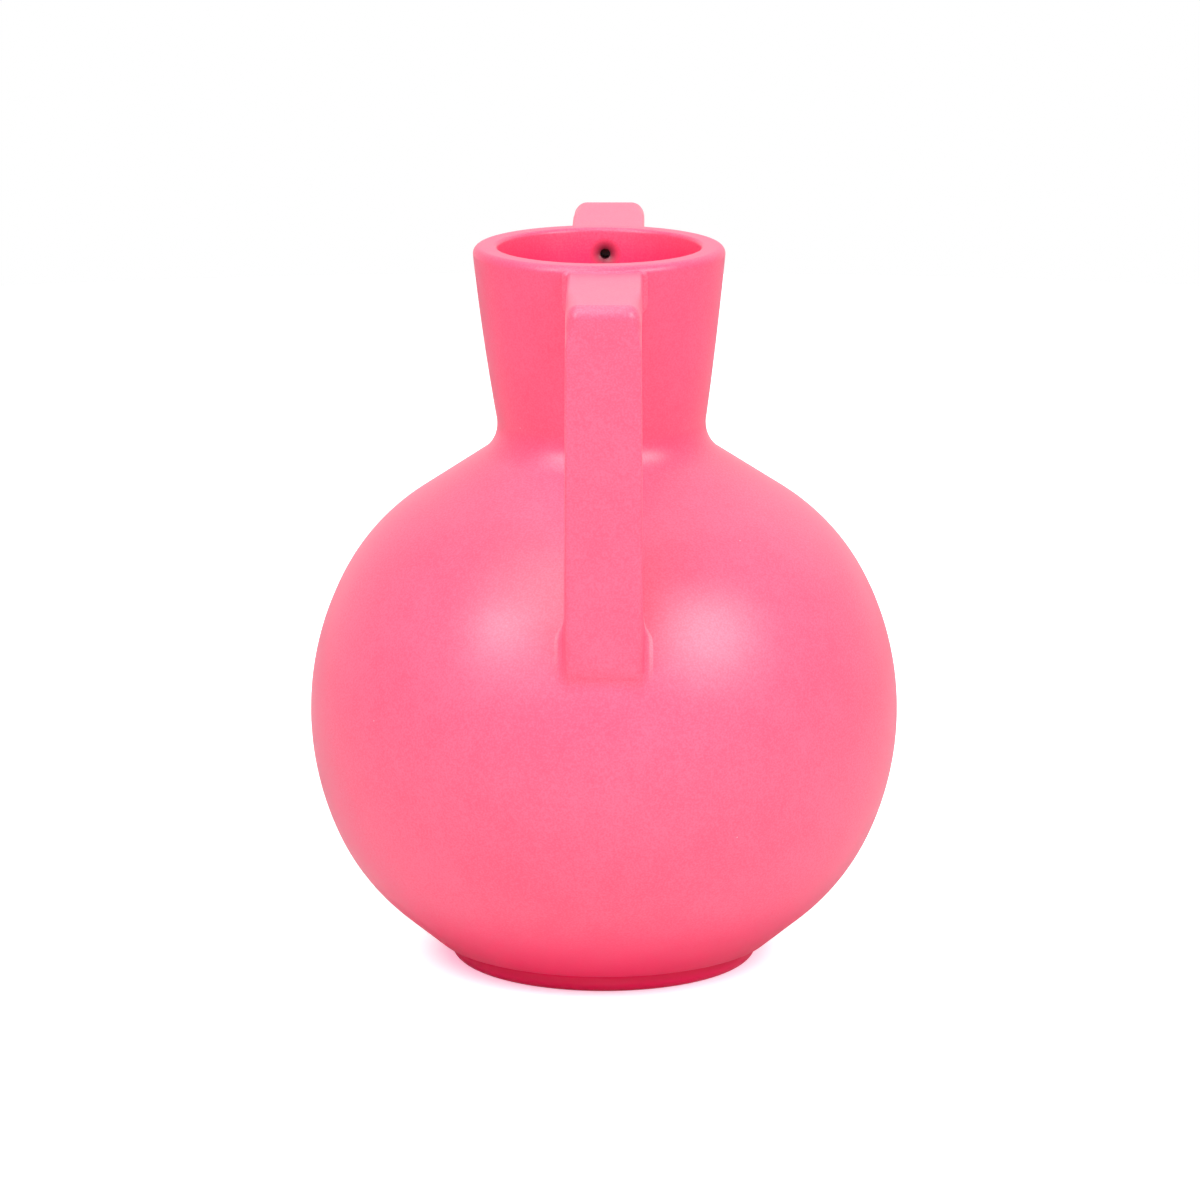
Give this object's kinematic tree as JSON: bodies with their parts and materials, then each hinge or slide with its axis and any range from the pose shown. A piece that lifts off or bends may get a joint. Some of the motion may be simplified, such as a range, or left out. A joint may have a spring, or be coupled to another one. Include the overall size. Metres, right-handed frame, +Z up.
{
  "type": "flower vase",
  "caption": "Round ceramic flower vase on a low foot ring, with a flaring neck and squared strap handles opposite each other.",
  "frame": {"origin": "on the surface that the foot ring stands on, at the vase's vertical axis", "axes": "+Z up along the neck, -Y out through the front handle, +Y out through the rear handle, +X to the right"},
  "size_m": [0.195, 0.203, 0.24],
  "materials": {
    "pink_glaze": "satin matte"
  },
  "bodies": {
    "root": {"globe_body": "pink_glaze", "foot_ring": "pink_glaze", "neck_cone": "pink_glaze", "front_handle": "pink_glaze", "rear_handle": "pink_glaze"}
  },
  "joints": []
}
